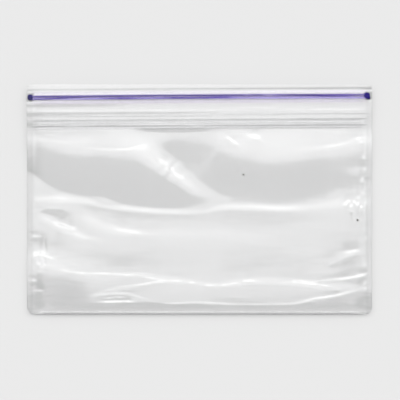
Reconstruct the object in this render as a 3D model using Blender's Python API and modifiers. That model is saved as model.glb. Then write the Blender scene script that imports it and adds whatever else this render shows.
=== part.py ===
"""Resealable plastic bag: clear film, zipped shut, empty, lying on its back.

World frame: metres, +Z up. The origin is on the floor under the middle of the
bag, +X runs along the zip and +Y points from the pouch to the zip.

The bag is one folded and side-welded sleeve of film. Here it is one closed
solid, the film with the little air that it holds: a slab in the header, which
carries two closures in channels, and a low pillow in the pouch. The pillow's
upper film bends along a few lines that run from weld to weld, and steps up
along a few folds. Both are given below as routes in millimetres.
"""
import math

import bmesh
import bpy
import numpy as np
from mathutils import Matrix

MM = 0.001

# ---- driving dimensions, metres ----
BAG_WIDTH = 180 * MM
BAG_HEIGHT = 120 * MM
FOOT_CORNER = 3.6 * MM            # radius of the two corners at the fold
LIP_CORNER = 1.4 * MM             # radius of the two corners at the mouth
FIT_GAP = 0.3 * MM                # between the film solid and what it carries

HEADER_EDGE = 36.2 * MM           # where the pouch begins under the header
HEADER_TOP = 1.9 * MM             # top of the header slab
LIP_STEP = 57.7 * MM              # the front lip ends here, the back lip goes on
LIP_TOP = 0.7 * MM                # top of the back lip
CHANNEL_FLOOR = 0.4 * MM          # bottom of both closure channels

SEAM_THICKNESS = 0.5 * MM         # two films, welded or folded
WELD_WIDTH = 2.6 * MM             # of the flat welded band along each side
SEAM_RISE_SIDE = 1.5 * MM         # mid-height of the side welds
SEAM_RISE_FOOT = 1.35 * MM        # mid-height of the fold at the foot
WELD_FOLLOW = 0.65                # share of the pouch's relief that the welds take up
WELD_LEVEL = 1.9 * MM             # level of the pouch about which they do so
FOLD_DEPTH = 2.4 * MM             # the film turns round a soft fold at the foot,
FOLD_HEIGHT = 0.9 * MM            # each face standing off by this as it turns,
FOLD_TAPER = 7 * MM               # pinched flat by the side welds over this width
SIDE_SHOULDER = 5 * MM            # width over which the film rises from a weld
FOOT_SHOULDER = 6.5 * MM          # the same at the fold
UNDER_SHOULDER = 9 * MM           # width over which the back film lifts
FOOT_WELD_FADE = 15 * MM          # the welds turn level again towards the foot
HEADER_WELD_FADE = 8 * MM         # and towards the header

ZIP_TILT = math.radians(0.34)     # the zip isn't quite square to the welds
ZIP_CENTRE_Y = 53.7 * MM
ZIP_LENGTH = 176 * MM
ZIP_FLANGE = 3.0 * MM             # width of the purple strip
ZIP_BEAD_RADIUS = 0.5 * MM        # each of the two interlocked beads
ZIP_BEAD_SPACING = 1.3 * MM
ZIP_BASE = 0.5 * MM               # thickness of the strip beside its beads
STOP_LENGTH = 2.6 * MM            # crushed end of the zip, along X
STOP_WIDTH = 3.2 * MM
STOP_THICKNESS = 0.8 * MM
STOP_CENTRE_X = 88.0 * MM

RIB_CENTRE_Y = 39.45 * MM
RIB_LENGTH = 170 * MM
RIB_WIDTH = 5.6 * MM              # width of the clear ribbed closure
RIB_BASE = 0.6 * MM
RIB_COUNT = 4
RIB_HEIGHT = 0.6 * MM
RIB_FOOT = 0.42                   # half width of a rib's foot, as a share of the pitch
RIB_CROWN = 0.22                  # radius of a rib's crown, as a share of the pitch

BODY_FACET = 4.0                  # grid step over the pouch, millimetres
NARROWEST_FOLD = 5.0              # a fold is no narrower than the grid shows
HEADER_ROWS = (0.26, 0.5, 0.71, 0.93)  # grid rows over the header, as shares of it
SHARP_ANGLE = math.radians(40)    # steeper edges are shaded sharp
ON_FLOOR = 0.0001 * MM            # lower than this a face lies on the floor
POUCH_LENGTH = 96.2               # from the header to the foot, millimetres
LOWEST_FILM = 0.55                # the upper film comes no lower than this,
LOWEST_TURN = 0.2                 # and levels out this gently, millimetres

# ---- a broad mound of air in the middle: (x, y), reach along X and Y, rise, ----
# ---- all in millimetres                                                     ----
MOUND = (-6, -8, 60, 60, 1.2)

# ---- lines along which the upper film bends: (x, y, change of slope) along ----
# ---- each, going from the zip to the foot, and how gently the film turns   ----
BENDS = [
    # up out of the header
    ([(-95, 36.5, 0.02), (-55, 36.5, 0.03), (-42, 36.5, 0.10), (-28, 36.5, 0.10),
      (-14, 36.5, 0.05), (3, 36.5, 0.03), (16, 36.5, 0.12), (50, 36.5, 0.11),
      (95, 36.5, 0.09)], 1.5),
    ([(-95, 33.3, 0.12), (-55, 34.2, 0.11), (-42, 35, 0.04), (-30, 35, 0.03),
      (-14, 34.5, 0), (16, 34, 0.01), (50, 33, 0.02), (95, 32, 0.05)], 1.5),
    # over the crest of the upper hump
    ([(-95, 33, -0.19), (-83, 29.5, -0.20), (-70, 25.5, -0.21), (-42, 23, -0.21),
      (-28, 24.5, -0.21), (-14, 32, -0.14), (3, 31, -0.13), (16, 25, -0.2),
      (40, 19.5, -0.2), (60, 23, -0.2), (80, 28, -0.2), (95, 31, -0.2)], 3.5),
    # through the valley between the humps
    ([(-95, 8, 0.165), (-75, 4.4, 0.165), (-60, 1.6, 0.155), (-45, 0, 0.14),
      (-20, -2.8, 0.10), (0, -3.2, 0.095), (12, 0.6, 0.10), (25, 1.2, 0.10),
      (45, 1, 0.10), (60, 2.6, 0.125), (75, 6, 0.15), (95, 10, 0.15)], 4.0),
    # up the lower hump and over it
    ([(-95, -8, 0.03), (-60, -8, 0.07), (-35, -9, 0.09), (-20, -10, 0.08), (55, -12, 0.06),
      (70, -10, -0.02), (95, -8, -0.05)], 3.0),
    ([(-95, -13, -0.08), (-75, -21, -0.09), (-60, -27, -0.10), (-40, -28, -0.09),
      (-20, -23, -0.035), (55, -24, -0.03), (95, -24, 0.02)], 4.0),
    ([(-95, -22, 0.15), (-75, -26, 0.15), (-60, -31, 0.12), (-40, -36, 0.08),
      (-20, -38, 0.06), (95, -38, 0.05)], 3.0),
    ([(-95, -37, -0.24), (-75, -39.5, -0.23), (-62, -42.5, -0.14), (-48, -45, -0.05),
      (-30, -47, -0.04),
      (-10, -49, -0.05), (20, -49, -0.05), (60, -49, -0.04), (75, -46, -0.08),
      (95, -42, -0.11)], 3.0),
]

# ---- (x, level) that the upper film comes down to at the foot, millimetres ----
FOOT_LEVELS = [
    (-95, 2.3), (-70, 2.5), (-50, 3.0), (-30, 3.3), (-15, 3.2), (5, 2.8),
    (25, 3.1), (60, 2.8), (95, 2.5),
]

# ---- folds: the film steps up on the right-hand side of each route. Rows are ----
# ---- (x, y, rise, width) in millimetres, then how far the step reaches to    ----
# ---- the left and to the right before the film is level again                ----
FOLDS = [
    # along the valley, from weld to weld
    ([(-92, 6.2, 1.1, 8), (-75, 3.4, 0.8, 6.5), (-60, -0.6, 0.45, 5),
      (-45, -3.3, 0.45, 3.4), (-20, -6, 0.45, 3.2), (0, -6, 0.35, 3.4),
      (12, -4, 0.4, 4), (25, -3.8, 0.45, 4.4), (45, -4.6, 0.55, 4.4),
      (60, -3.4, 0.5, 6), (75, -1.5, 0.4, 7), (92, 0, 0.3, 8)], 12, 16),
    # slanting across the upper hump
    ([(-40, 33, 0, 12), (-31, 26, 1.2, 16), (-22.5, 18.5, 2.1, 17), (-14, 11.5, 2.1, 16),
      (-4, 5.5, 1.2, 13), (7, 2.0, 0.45, 8), (18, -0.5, 0, 6)], 20, 20),
    # two short ones on the left of the lower hump
    ([(-88, -6, 0, 5), (-82, -9, 0.35, 6), (-76, -12, 0.55, 7), (-69, -15.5, 0.8, 7),
      (-63, -18.5, 0.45, 4), (-54, -20.3, 0.12, 1.6), (-48, -20.5, 0, 2)], 6, 9),
    ([(-66, -1.5, 0, 7), (-54, -6.5, 0.3, 8), (-44, -12, 0.45, 8),
      (-35, -15.5, 0.5, 7), (-26, -17.3, 0.3, 8), (0, -17.5, 0.35, 12),
      (30, -19, 0.3, 12), (55, -19, 0, 10)], 8, 12),
    # along the crest of the lower hump
    ([(-88, -27, 0, 8), (-80, -32, 0.35, 9), (-70, -36.5, 0.2, 4),
      (-60, -38.3, 0.16, 1.8), (-45, -38.7, 0.2, 1.8), (-32, -38.9, 0.28, 2.2),
      (-22, -40.6, 0.5, 5), (-5, -42.7, 0.3, 3), (8, -44.3, 0.3, 3),
      (20, -43, 0.45, 6), (32, -42, 0.4, 6), (45, -43, 0.35, 6),
      (55, -43.5, 0.6, 6), (65, -45, 0.4, 6), (75, -45.5, 0.25, 3.5),
      (87, -46, 0.2, 2)], 9, 16),
]


def clear_scene():
    """Start from an empty file."""
    for obj in list(bpy.data.objects):
        bpy.data.objects.remove(obj, do_unlink=True)


def new_collection(name):
    collection = bpy.data.collections.new(name)
    bpy.context.scene.collection.children.link(collection)
    return collection


def plastic(name, color, roughness, alpha=1.0):
    """A plain plastic: linear colour, roughness and see-through share."""
    material = bpy.data.materials.new(name)
    material.use_nodes = True
    shader = material.node_tree.nodes["Principled BSDF"]
    shader.inputs["Base Color"].default_value = (*color, 1.0)
    shader.inputs["Roughness"].default_value = roughness
    shader.inputs["Metallic"].default_value = 0.0
    shader.inputs["Alpha"].default_value = alpha
    return material


def smooth(t):
    """From 0 to 1 as t does, with level ends."""
    t = np.clip(t, 0.0, 1.0)
    return t * t * t * (t * (6.0 * t - 15.0) + 10.0)


def smooth_route(rows, steps=6):
    """A Catmull-Rom curve through the rows, all columns alike."""
    points = np.array(rows, float)
    first = 2 * points[0] - points[1]
    last = 2 * points[-1] - points[-2]
    points = np.vstack([first, points, last])
    curve = []
    for before, start, end, after in zip(points, points[1:], points[2:], points[3:]):
        for step in range(steps):
            t = step / steps
            linear = (end - before) * t
            square = (2 * before - 5 * start + 4 * end - after) * t ** 2
            cube = (3 * start - before - 3 * end + after) * t ** 3
            curve.append(0.5 * (2 * start + linear + square + cube))
    curve.append(points[-2])
    return np.array(curve)


def beside_route(x, y, rows):
    """Distance to a route, positive on its right, and its values at that place."""
    curve = smooth_route(rows)
    nearest = np.full(x.shape, np.inf)
    side = np.zeros(x.shape)
    values = np.zeros((curve.shape[1] - 2,) + x.shape)
    for start, end in zip(curve, curve[1:]):
        run_x, run_y = end[:2] - start[:2]
        off_x, off_y = x - start[0], y - start[1]
        t = np.clip((off_x * run_x + off_y * run_y) / (run_x ** 2 + run_y ** 2), 0, 1)
        off_x, off_y = off_x - t * run_x, off_y - t * run_y
        distance = np.hypot(off_x, off_y)
        closer = distance < nearest
        nearest = np.where(closer, distance, nearest)
        right = np.sign(off_x * run_y - off_y * run_x)
        side = np.where(closer, right * distance, side)
        for value, low, high in zip(values, start[2:], end[2:]):
            value[closer] = (low + t * (high - low))[closer]
    return side, values


def bend(x, y, rows, softness):
    """Height that a bend adds below its line."""
    line = smooth_route(rows)
    below = np.interp(x, line[:, 0], line[:, 1]) - y
    slope = np.interp(x, line[:, 0], line[:, 2])
    return slope * 0.5 * (below + np.sqrt(below ** 2 + softness ** 2))


def fold(x, y, rows, reach_left, reach_right):
    """Height that a fold adds: a step along its route that levels out."""
    side, (rise, width) = beside_route(x, y, rows)
    width = np.maximum(width, NARROWEST_FOLD)
    reach = np.where(side > 0, reach_right, reach_left)
    return rise * (smooth(side / width + 0.5) - 0.5) * np.exp(-(side / reach) ** 2)


def mound(x, y, centre_x, centre_y, reach_x, reach_y, rise):
    """Height of a broad round swelling."""
    off = ((x - centre_x) / reach_x) ** 2 + ((y - centre_y) / reach_y) ** 2
    return rise * np.exp(-off)


def upper_film(x, y):
    """Height of the upper film over the pouch, away from the seams, in metres."""
    x_mm, y_mm = x / MM, y / MM
    foot_mm = np.full(x.shape, -BAG_HEIGHT / 2 / MM)
    height = HEADER_TOP / MM + mound(x_mm, y_mm, *MOUND)
    at_foot = HEADER_TOP / MM - np.interp(x_mm, *zip(*FOOT_LEVELS))
    for rows, softness in BENDS:
        height += bend(x_mm, y_mm, rows, softness)
        at_foot += bend(x_mm, foot_mm, rows, softness)
    height -= at_foot * (HEADER_EDGE / MM - y_mm) / POUCH_LENGTH
    for rows, reach_left, reach_right in FOLDS:
        height += fold(x_mm, y_mm, rows, reach_left, reach_right)
    above = height - LOWEST_FILM
    return (LOWEST_FILM + 0.5 * (above + np.hypot(above, LOWEST_TURN))) * MM


def seam_height(x, y):
    """Mid-height of the side welds and of the fold at the foot."""
    from_foot = BAG_HEIGHT / 2 + y
    foot = smooth(0.75 - from_foot / BAG_HEIGHT)
    level = SEAM_RISE_SIDE + (SEAM_RISE_FOOT - SEAM_RISE_SIDE) * foot
    waving = smooth(from_foot / FOOT_WELD_FADE)
    waving *= smooth((HEADER_EDGE - y) / HEADER_WELD_FADE)
    return level + WELD_FOLLOW * (upper_film(x, y) - WELD_LEVEL) * waving


def edge_thickness(x, y):
    """How far each face stands off the middle of the bag's edge."""
    from_side = BAG_WIDTH / 2 - np.abs(x)
    from_foot = BAG_HEIGHT / 2 + y
    turned = np.clip(1.0 - from_foot / FOLD_DEPTH, 0.0, 1.0)
    turn = FOLD_HEIGHT * np.sqrt(1.0 - turned ** 2)
    turn *= 1.0 - smooth(from_foot / FOOT_SHOULDER / 2 - 0.5)
    return SEAM_THICKNESS / 2 + turn * smooth(from_side / FOLD_TAPER)


def film_top(x, y):
    """Height of the bag's upper face."""
    edge = seam_height(x, y) + edge_thickness(x, y)
    from_side = smooth((BAG_WIDTH / 2 - WELD_WIDTH - np.abs(x)) / SIDE_SHOULDER)
    from_foot = smooth((BAG_HEIGHT / 2 + y) / FOOT_SHOULDER)
    pouch = edge + (upper_film(x, y) - edge) * from_side * from_foot
    into_header = smooth((y - HEADER_EDGE) / BODY_FACET / MM + 1.0)
    header = np.where(y < LIP_STEP, HEADER_TOP, LIP_TOP)
    return pouch + (header - pouch) * into_header


def film_bottom(x, y):
    """Height of the bag's lower face: on the floor, lifting towards the edges."""
    edge = seam_height(x, y) - edge_thickness(x, y)
    from_side = smooth((BAG_WIDTH / 2 - WELD_WIDTH - np.abs(x)) / UNDER_SHOULDER)
    from_foot = smooth((BAG_HEIGHT / 2 + y) / FOLD_DEPTH)
    in_pouch = smooth((HEADER_EDGE - y) / UNDER_SHOULDER)
    return edge * (1.0 - from_side * from_foot) * in_pouch


def stations():
    """Grid lines over the bag, closer together in the seams and the lips."""
    half_width, half_height = BAG_WIDTH / 2, BAG_HEIGHT / 2
    seam = [0.0, 1.2 * MM, 2.4 * MM, 3.6 * MM]
    inner = half_width - 2 * seam[-1] + seam[1]
    across = 2 * round(inner / (BODY_FACET * MM))
    columns = [-half_width + s for s in seam]
    columns += list(np.linspace(-inner, inner, across + 1))
    columns += [half_width - s for s in reversed(seam)]
    pouch_foot = -half_height + 2 * seam[-1] - seam[1]
    down = round((HEADER_EDGE - pouch_foot) / (BODY_FACET * MM))
    rows = [-half_height + s for s in seam]
    rows += list(np.linspace(pouch_foot, HEADER_EDGE, down + 1))
    header = LIP_STEP - HEADER_EDGE
    rows += [HEADER_EDGE + header * share for share in HEADER_ROWS]
    rows += [LIP_STEP - FIT_GAP / 2, LIP_STEP + FIT_GAP / 2]
    rows += [half_height - LIP_CORNER / 2, half_height]
    return columns, rows


def round_corner(x, y):
    """Pull a point of a corner's square onto the corner's arc."""
    radius = FOOT_CORNER if y < 0 else LIP_CORNER
    centre_x = math.copysign(BAG_WIDTH / 2 - radius, x)
    centre_y = math.copysign(BAG_HEIGHT / 2 - radius, y)
    off_x, off_y = x - centre_x, y - centre_y
    if off_x * x <= 0 or off_y * y <= 0:
        return x, y
    shrink = max(abs(off_x), abs(off_y)) / math.hypot(off_x, off_y)
    return centre_x + off_x * shrink, centre_y + off_y * shrink


def film_solid(collection, material):
    """The film with its air: a grid for the upper face, extruded to the lower."""
    columns, rows = stations()
    bm = bmesh.new()
    bmesh.ops.create_grid(bm, x_segments=len(columns) - 1, y_segments=len(rows) - 1,
                          size=1.0)
    for vertex in bm.verts:
        column = round((vertex.co.x + 1) / 2 * (len(columns) - 1))
        row = round((vertex.co.y + 1) / 2 * (len(rows) - 1))
        vertex.co.x, vertex.co.y = round_corner(columns[column], rows[row])
    upper = list(bm.verts)
    grown = bmesh.ops.extrude_face_region(bm, geom=bm.faces[:])
    lower = [item for item in grown["geom"] if isinstance(item, bmesh.types.BMVert)]
    for face, height in ((upper, film_top), (lower, film_bottom)):
        xy = np.array([vertex.co.xy for vertex in face])
        for vertex, z in zip(face, height(xy[:, 0], xy[:, 1])):
            vertex.co.z = z
    flat = [face for face in bm.faces if max(v.co.z for v in face.verts) < ON_FLOOR]
    bmesh.ops.dissolve_faces(bm, faces=flat)
    bmesh.ops.recalc_face_normals(bm, faces=bm.faces[:])
    mesh = bpy.data.meshes.new("film_bag")
    bm.to_mesh(mesh)
    bm.free()
    mesh.materials.append(material)
    mesh.shade_smooth()
    mesh.set_sharp_from_angle(angle=SHARP_ANGLE)
    obj = bpy.data.objects.new("film_bag", mesh)
    collection.objects.link(obj)
    return obj


def box(name, size, centre, collection, turn=0.0, corner=0.0):
    """A box from a cube primitive, its upright edges rounded by corner."""
    bpy.ops.mesh.primitive_cube_add(size=1.0)
    obj = bpy.context.object
    obj.name = name
    obj.data.transform(Matrix.Diagonal((*size, 1.0)))
    obj.location = centre
    obj.rotation_euler.z = turn
    move_to(obj, collection)
    if corner:
        weight = obj.data.attributes.new("bevel_weight_edge", "FLOAT", "EDGE")
        for edge in obj.data.edges:
            start, end = (obj.data.vertices[i].co for i in edge.vertices)
            upright = abs(start.z - end.z) > size[2] / 2
            weight.data[edge.index].value = 1.0 if upright else 0.0
        bevel = obj.modifiers.new("round", "BEVEL")
        bevel.limit_method = "WEIGHT"
        bevel.width = corner
        bevel.segments = 3
    return obj


def move_to(obj, collection):
    for owner in list(obj.users_collection):
        owner.objects.unlink(obj)
    collection.objects.link(obj)


def arc(centre_y, centre_z, radius, first, last, steps=6):
    """Points on an arc in the strip's cross-section, angles in degrees."""
    angles = [math.radians(first + (last - first) * i / steps) for i in range(steps + 1)]
    return [(centre_y + radius * math.cos(a), centre_z + radius * math.sin(a))
            for a in angles]


def extrusion(name, section, length):
    """A long strip: its closed cross-section (y, z) drawn out along X, as a mesh."""
    curve = bpy.data.curves.new(name, "CURVE")
    curve.dimensions = "2D"
    curve.fill_mode = "BOTH"
    curve.extrude = length / 2
    spline = curve.splines.new("POLY")
    spline.points.add(len(section) - 1)
    for point, (y, z) in zip(spline.points, section):
        point.co = (y, z, 0.0, 1.0)
    spline.use_cyclic_u = True
    drawn = bpy.data.objects.new(name, curve)
    bpy.context.scene.collection.objects.link(drawn)
    # the outline's plane goes upright, and its normal along X
    drawn.rotation_euler = (math.pi / 2, 0.0, math.pi / 2)
    bpy.context.view_layer.update()
    evaluated = drawn.evaluated_get(bpy.context.evaluated_depsgraph_get())
    mesh = bpy.data.meshes.new_from_object(evaluated)
    mesh.transform(drawn.matrix_world)
    bpy.data.objects.remove(drawn, do_unlink=True)
    bpy.data.curves.remove(curve)
    bm = bmesh.new()
    bm.from_mesh(mesh)
    bmesh.ops.remove_doubles(bm, verts=bm.verts[:], dist=1e-6)
    bmesh.ops.recalc_face_normals(bm, faces=bm.faces[:])
    bm.to_mesh(mesh)
    bm.free()
    return bpy.data.objects.new(name, mesh)


def boolean(target, cutters, operation):
    """Join a collection's objects to the target, or cut them from it."""
    modifier = target.modifiers.new(operation.lower(), "BOOLEAN")
    modifier.operation = operation
    modifier.operand_type = "COLLECTION"
    modifier.collection = cutters
    modifier.solver = "EXACT"
    return modifier


def zip_section():
    """Cross-section of the shut zip: a flange, and two interlocked beads on it."""
    half = ZIP_FLANGE / 2
    bead_z = ZIP_BASE + ZIP_BEAD_RADIUS / 2
    bead_y = ZIP_BEAD_SPACING / 2
    section = [(-half, 0.0), (half, 0.0), (half, ZIP_BASE)]
    section += arc(bead_y, bead_z, ZIP_BEAD_RADIUS, -25, 150)
    section += arc(-bead_y, bead_z, ZIP_BEAD_RADIUS, 30, 205)
    section += [(-half, ZIP_BASE)]
    return section


def rib_section():
    """Cross-section of the clear closure: a flange with a row of ribs."""
    half = RIB_WIDTH / 2
    pitch = RIB_WIDTH / RIB_COUNT
    section = [(-half, 0.0), (half, 0.0)]
    foot, crown = pitch * RIB_FOOT, pitch * RIB_CROWN
    for rib in range(RIB_COUNT):
        middle = half - pitch * (rib + 0.5)
        section.append((middle + foot, RIB_BASE))
        section += arc(middle, RIB_BASE + RIB_HEIGHT - crown, crown, 0, 180, 4)
        section.append((middle - foot, RIB_BASE))
    return section


def zip_strip(collection, joined, material):
    """The purple closure, with its two ends crushed flat, as one solid."""
    strip = extrusion("zip_strip", zip_section(), ZIP_LENGTH)
    collection.objects.link(strip)
    strip.location = (0.0, ZIP_CENTRE_Y, CHANNEL_FLOOR + FIT_GAP)
    strip.rotation_euler.z = ZIP_TILT
    for side, name in ((-1, "stop_left"), (1, "stop_right")):
        x = side * STOP_CENTRE_X
        y = ZIP_CENTRE_Y + x * math.tan(ZIP_TILT)
        z = CHANNEL_FLOOR + FIT_GAP + STOP_THICKNESS / 2
        stop = box(name, (STOP_LENGTH, STOP_WIDTH, STOP_THICKNESS), (x, y, z), joined,
                   turn=ZIP_TILT, corner=STOP_WIDTH / 5)
        stop.hide_render = True
        stop.display_type = "WIRE"
    boolean(strip, joined, "UNION")
    strip.data.materials.append(material)
    return strip


def rib_strip(collection, material):
    """The second closure, clear and ribbed, between the zip and the pouch."""
    strip = extrusion("rib_strip", rib_section(), RIB_LENGTH)
    collection.objects.link(strip)
    strip.location = (0.0, RIB_CENTRE_Y, CHANNEL_FLOOR + FIT_GAP)
    strip.rotation_euler.z = ZIP_TILT
    strip.data.materials.append(material)
    return strip


def channels(cutters):
    """Room for the closures in the film's header slab, open at the top."""
    height = HEADER_TOP
    z = CHANNEL_FLOOR + height / 2
    gap = 2 * FIT_GAP
    zip_room = (BAG_WIDTH + gap, STOP_WIDTH + gap, height)
    rib_room = (RIB_LENGTH + gap, RIB_WIDTH + gap, height)
    for name, size, y in (("zip_channel", zip_room, ZIP_CENTRE_Y),
                          ("rib_channel", rib_room, RIB_CENTRE_Y)):
        cutter = box(name, size, (0.0, y, z), cutters, turn=ZIP_TILT)
        cutter.hide_render = True
        cutter.display_type = "WIRE"


def build():
    clear_scene()
    bag = new_collection("resealable_bag")
    cutters = new_collection("cutters")
    joined = new_collection("zip_ends")
    clear = plastic("clear_film", (0.90, 0.92, 0.94), 0.12, alpha=0.35)
    purple = plastic("purple_zip", (0.14, 0.09, 0.52), 0.30)
    ribbed = plastic("clear_ribs", (0.82, 0.84, 0.87), 0.22, alpha=0.5)
    film = film_solid(bag, clear)
    channels(cutters)
    boolean(film, cutters, "DIFFERENCE")
    zip_strip(bag, joined, purple)
    rib_strip(bag, ribbed)


build()
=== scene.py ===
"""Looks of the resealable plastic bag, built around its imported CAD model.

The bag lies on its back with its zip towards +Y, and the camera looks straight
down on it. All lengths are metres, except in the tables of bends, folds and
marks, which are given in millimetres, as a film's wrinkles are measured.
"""
import math

import bmesh
import bpy
import numpy as np
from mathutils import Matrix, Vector, noise


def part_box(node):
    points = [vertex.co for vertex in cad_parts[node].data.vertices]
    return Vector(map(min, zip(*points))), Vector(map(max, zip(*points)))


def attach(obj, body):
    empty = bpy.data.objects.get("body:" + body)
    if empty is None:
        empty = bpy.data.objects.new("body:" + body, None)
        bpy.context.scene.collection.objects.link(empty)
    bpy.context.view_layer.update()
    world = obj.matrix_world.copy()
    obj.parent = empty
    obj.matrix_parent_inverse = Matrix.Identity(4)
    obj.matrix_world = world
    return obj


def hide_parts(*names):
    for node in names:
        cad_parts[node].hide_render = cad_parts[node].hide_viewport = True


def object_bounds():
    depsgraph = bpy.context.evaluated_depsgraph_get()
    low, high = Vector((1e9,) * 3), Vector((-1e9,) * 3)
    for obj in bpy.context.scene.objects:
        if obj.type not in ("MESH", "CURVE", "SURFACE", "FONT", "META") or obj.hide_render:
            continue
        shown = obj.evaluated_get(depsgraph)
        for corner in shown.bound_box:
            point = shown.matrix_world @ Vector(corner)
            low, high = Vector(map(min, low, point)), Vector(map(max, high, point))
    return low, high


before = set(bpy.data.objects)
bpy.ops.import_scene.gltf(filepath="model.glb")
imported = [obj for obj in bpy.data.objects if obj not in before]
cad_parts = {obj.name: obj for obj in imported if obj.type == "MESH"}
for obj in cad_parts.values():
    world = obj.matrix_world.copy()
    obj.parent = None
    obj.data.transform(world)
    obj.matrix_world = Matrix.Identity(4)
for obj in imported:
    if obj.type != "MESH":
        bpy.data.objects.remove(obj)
cad_low, cad_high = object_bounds()

MM = 0.001
HALF_WIDTH = cad_high[0]
HALF_HEIGHT = cad_high[1]
ZIP_LOW, ZIP_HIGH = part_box("zip_strip")
RIB_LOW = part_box("rib_strip")[0]
TILT = math.tan(math.radians(0.34))  # the closures aren't quite square to the welds

# ---- the film ----
HEADER_EDGE = 36.2 * MM           # where the pouch begins under the header
HEADER_TOP = 1.9 * MM             # level at which the pouch film leaves the header
HEADER_BLEND = 3 * MM             # the pouch's height passes into the header's over this,
HEADER_TURN = 4 * MM              # and the rows turn to lie along the closures over this
HEADER_LEVELS = [                 # (y, level) of the front film over the closures, mm
    (34, 1.84), (36.2, 1.9), (39, 2.05), (42, 2.23), (45, 2.41), (48, 2.51),
    (51, 2.55), (53.5, 2.52), (55.3, 2.50), (56.4, 2.49), (57.3, 2.53), (58.2, 2.63),
    (61, 2.88),
]
BACK_FILM = 0.12 * MM             # level of the back film on the floor
FRONT_LIP = 58.05 * MM            # the front film ends here, the back one goes on
LIP_RISE = 52.2 * MM              # the back film lifts up to the front one from here,
LIP_RISE_WIDTH = 2.6 * MM         # over this,
LIP_GAP = 0.25 * MM               # and follows it this far below, to the lips
FOOT_CORNER = 3.6 * MM            # radius of the lower corners
LIP_CORNER = 1.4 * MM             # and of the upper ones
WELD_WIDTH = 2.6 * MM             # the flat weld down each side
SEAM_RISE_SIDE = 1.5 * MM         # mid-height of the side welds
SEAM_RISE_FOOT = 1.4 * MM         # and of the hem at the foot
WELD_LEVEL = 1.9 * MM             # as the pouch rises above this or dips below it,
WELD_FOLLOW = 0.50                # the side welds take up this share of that,
FOOT_WELD_FADE = 15 * MM          # less and less over this near the foot
HEADER_WELD_FADE = 8 * MM         # and over this near the header
HEADER_WELD_DROP = 0.8 * MM       # beside the header they hang this far below its film,
HELD_UP_FADE = 16 * MM            # and come up to it over this,
HELD_UP_SHARE = 0.6               # of which this share lies on the pouch's side
FOLD_DEPTH = 2.4 * MM             # the film turns round a fold at the foot
FOLD_FLAT = 0.6 * FOLD_DEPTH      # and the pouch rises from this far in
FOLD_HEIGHT = 1.05 * MM           # half the fold's thickness
FOLD_TAPER = 13 * MM              # over which it is pinched flat at the side edges
RIM = 0.4 * MM                    # how far in the rim at the side edges is rounded
RIM_HEIGHT = 0.1 * MM             # half the rim's thickness
SIDE_SHOULDER = 5 * MM            # over which the pouch rises from the side welds
CORNER_SHOULDER = 11 * MM         # the same at the foot,
CORNER_FROM = -38 * MM            # widening between these places
CORNER_TO = -54 * MM
FOOT_SHOULDER = 6.5 * MM          # over which it rises from the hem
UNDER_SHOULDER = 9 * MM           # over which the back film lifts to the side welds

# ---- light: radiance by how far a direction leans from straight up to +Y ----
ROUND_LIGHT = 1.0                # the pale surroundings
DIM_LIGHT = 0.5                  # the ceiling over the pouch side
OVERHEAD_LIGHT = 2.53            # the ceiling from overhead on
BOX_LIGHT = 3.85                 # the soft box
LAMP_LIGHT = 6.5                 # the brighter lamp within it
OVERHEAD = (-10.5, -0.5)         # degrees over which the dim ceiling gets lit
BOX_EDGE = (-0.5, 15.5)          # over which the soft box begins
BOX_END = (72, 52)               # and ends
LAMP_EDGE = (19, 29)             # the same for the lamp
LAMP_END = (46, 36)
CEILING_SIDES = (75, 50)         # over which the ceiling ends to the sides,
CEILING_FOOT = (-75, -50)        # towards the foot
CEILING_HEAD = (80, 60)          # and towards the zip
LEAST_UP = 0.001                 # directions below the horizon count as this far up
FLOOR_SHARE = 0.451              # of the light that the floor gives back
FLOOR_SIZE = 6.0
FLOOR_DROP = 0.05 * MM           # the floor lies this far under the bag

# ---- camera and look ----
LENS = 100.0
SENSOR = 36.0
VIEW_WIDTH = 209.3 * MM          # how much the camera sees
VIEW_CENTRE = (0.26 * MM, -0.2 * MM)
CLEAR_BOUNCES = 24               # so that light passes all the layers of film

# ---- materials ----
CLEAR_TONE = (0.99, 0.991, 0.992)  # light that one film lets through
DENSE_TONE = (0.42, 0.42, 0.42)   # the same where it is welded or seen edge-on
WELD_DEPTH = 0.08                 # how much of that shows in the side welds,
WELD_FADE = 0.8 * MM
RIM_DEPTH = 0.16                  # at the cut edges,
RIM_FADE = 0.5 * MM
LIP_DEPTH = 0.34                  # at the front lip
LIP_FADE = 2.2 * MM
HEM_DEPTH = 0.14                  # and in the fold at the foot
EDGE_ON_DEPTH = 0.5               # how much of it shows where a film is seen edge-on
HAZE_TONE = (0.50, 0.50, 0.50)
HAZE_SCALE = 60.0
HAZE_STRETCH = 6.0
FILM_HAZE = 0.02                  # share of haze in the film,
LILAC_HAZE = 0.03                 # in the zip's flange
RIB_HAZE = 0.02                   # and in the clear ribs
FILM_MIRROR = 0.09                # share that each mirrors head-on
LILAC_MIRROR = 0.02
RIB_MIRROR = 0.03
FILM_ROUGHNESS = 0.10
RIPPLE_SCALE = 220.0              # ripples of the film's skin
RIPPLE_STRETCH = 4.0
RIPPLE_DEPTH = 0.06 * MM
FUSED_SHARE = 0.85                # the closures take this much of the film's mirror
MELTED_SHARE = 0.99               # and their crushed ends this much
RIB_TONE = (0.925, 0.925, 0.93)
# the beads' deep purple, which also stands for painted shade along their dark lines
INDIGO = (0.045, 0.021, 0.22)
MELTED = (0.006, 0.001, 0.095)
LAVENDER = (0.44, 0.37, 0.82)
LILAC_CLEAR = (0.93, 0.89, 0.985)
ZIP_ROUGHNESS = 0.22
ZIP_SPECULAR = 0.07
ZIP_SOLID = 0.32                  # how solid the thinnest purple plastic is
ZIP_SOLID_GAIN = 1.1              # and how much more so it gets with depth of colour
STREAK_SCALE = 400.0              # streaks along the zip
STREAK_STRETCH = 12.0
STREAK_DEPTH = 0.3
GRIME = (0.03, 0.025, 0.02)
PALE_GRIME = (0.08, 0.07, 0.06)
GRIME_SCALE = 2000.0
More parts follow.
